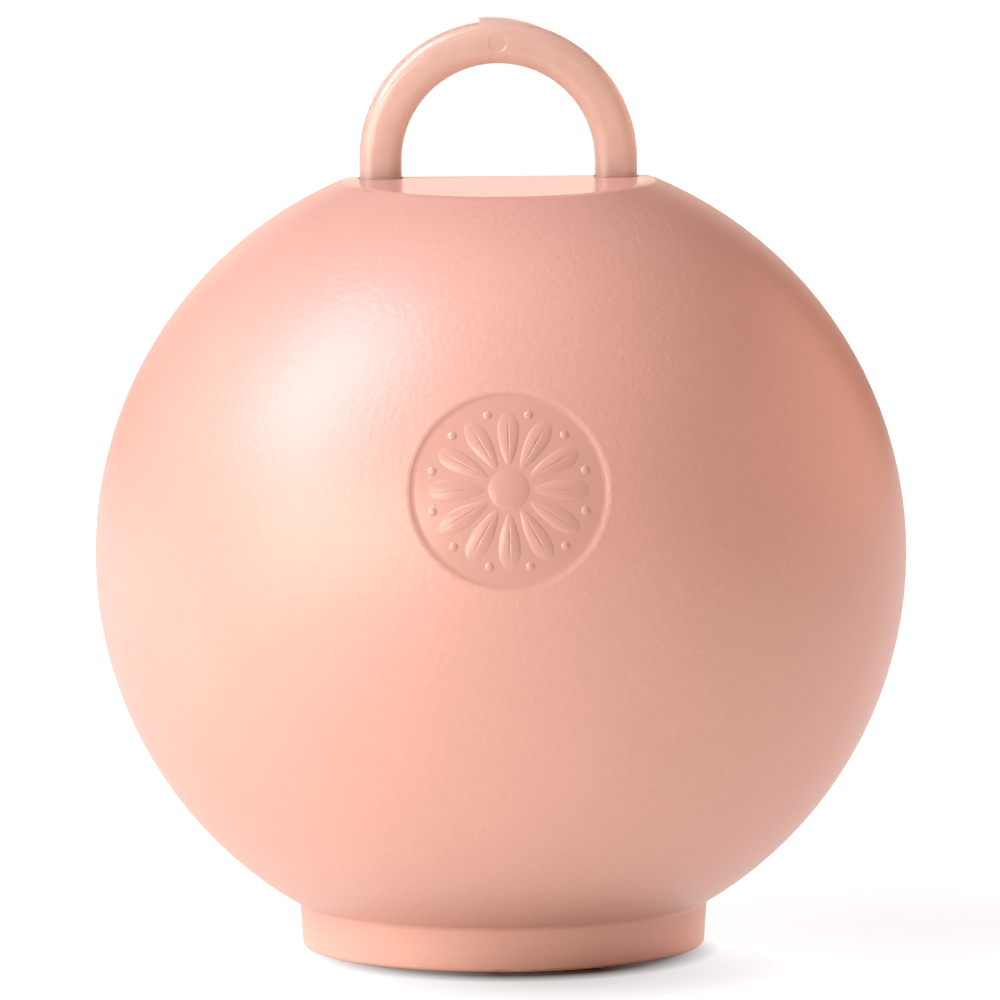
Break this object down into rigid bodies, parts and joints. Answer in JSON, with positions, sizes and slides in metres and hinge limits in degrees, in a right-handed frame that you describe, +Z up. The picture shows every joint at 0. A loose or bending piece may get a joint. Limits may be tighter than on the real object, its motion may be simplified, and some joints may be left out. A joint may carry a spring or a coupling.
{
  "type": "balloon weight",
  "caption": "Balloon weight like a small kettlebell: a sand-filled moulded ball on a ring foot, with a clip-in loop handle for tying ribbons and a snap-in plug in the base.",
  "frame": {"origin": "centre of the ring foot's underside, on the surface that the weight stands on", "axes": "+Z up through the handle, the medallion faces -Y, the handle's two legs stand along X"},
  "size_m": [0.046, 0.046, 0.0527],
  "materials": {
    "shell_plastic": "peach polypropylene with a fine spark-eroded grain",
    "handle_plastic": "peach polypropylene from a smooth tool, satin",
    "plug_plastic": "peach low-density polyethylene, waxy",
    "sand": "dry quartz sand, loose"
  },
  "bodies": {
    "root": {"ball_shell": "shell_plastic", "handle": "handle_plastic", "base_plug": "plug_plastic", "sand_filling": "sand"}
  },
  "joints": []
}
